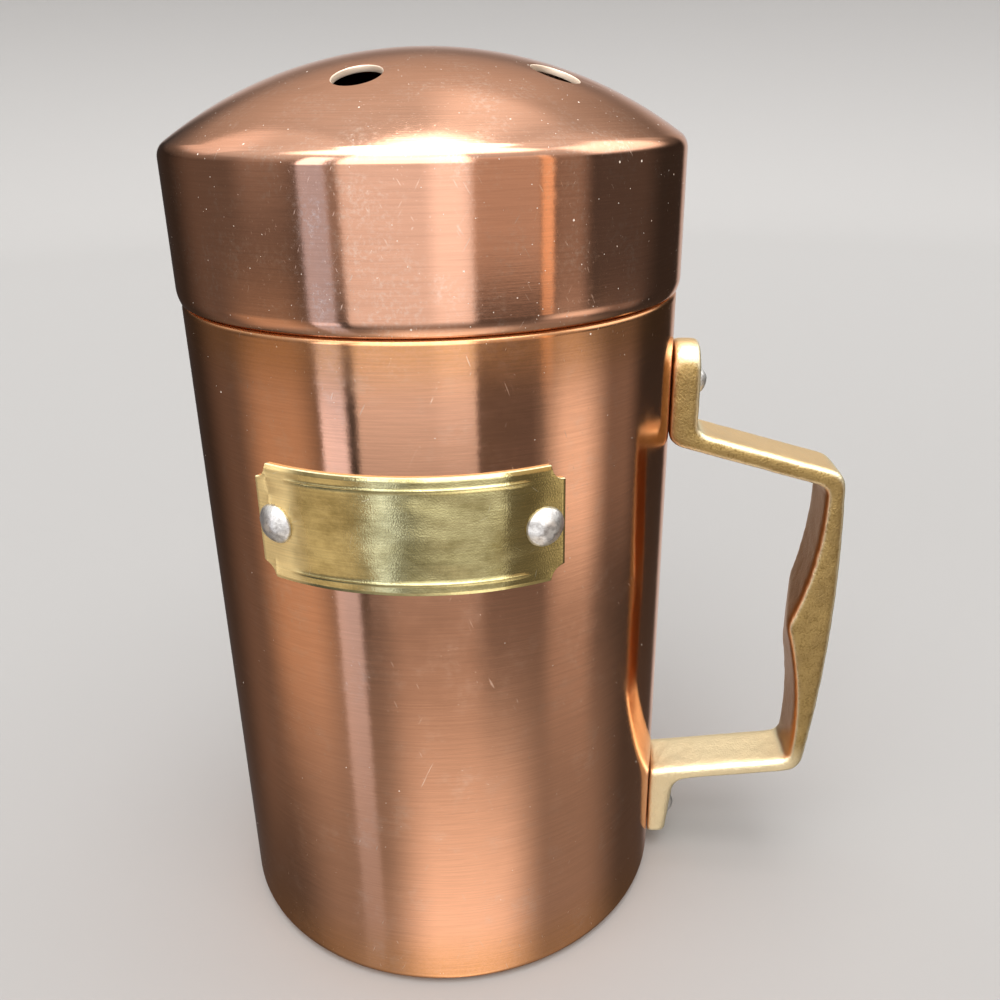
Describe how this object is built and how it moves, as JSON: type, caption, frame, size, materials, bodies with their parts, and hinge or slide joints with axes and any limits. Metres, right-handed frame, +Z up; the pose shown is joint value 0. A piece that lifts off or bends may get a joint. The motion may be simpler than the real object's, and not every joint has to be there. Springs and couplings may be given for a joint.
{
  "type": "parmesan shaker",
  "caption": "Cylindrical copper shaker for grated cheese, with a domed slip-on cap pierced by holes, a riveted cast brass side handle and a blank brass nameplate.",
  "frame": {"origin": "centre of the can's base, on the surface that it stands on", "axes": "+Z up along the can's axis, +X towards the handle, -Y towards the nameplate"},
  "size_m": [0.1063, 0.0774, 0.1416],
  "materials": {
    "copper_sheet": "drawn copper sheet, polished and finely brushed round the axis, lightly tarnished",
    "cast_brass": "sand-cast yellow brass, pebbled on the sides and polished on the edges",
    "sheet_brass": "stamped brass sheet, brushed along its length, lightly scratched",
    "rivet_aluminium": "peened, with hammer flats"
  },
  "bodies": {
    "can": {"can_body": "copper_sheet", "handle": "cast_brass", "nameplate": "sheet_brass", "nameplate_rivet_left": "rivet_aluminium", "nameplate_rivet_right": "rivet_aluminium", "handle_rivet_upper": "rivet_aluminium", "handle_rivet_lower": "rivet_aluminium"},
    "cap": {"shaker_cap": "copper_sheet"}
  },
  "joints": [
    {"name": "cap_lift", "type": "slide", "parent": "can", "child": "cap", "axis": [0, 0, 1], "range_m": [0, 0.045]}
  ]
}
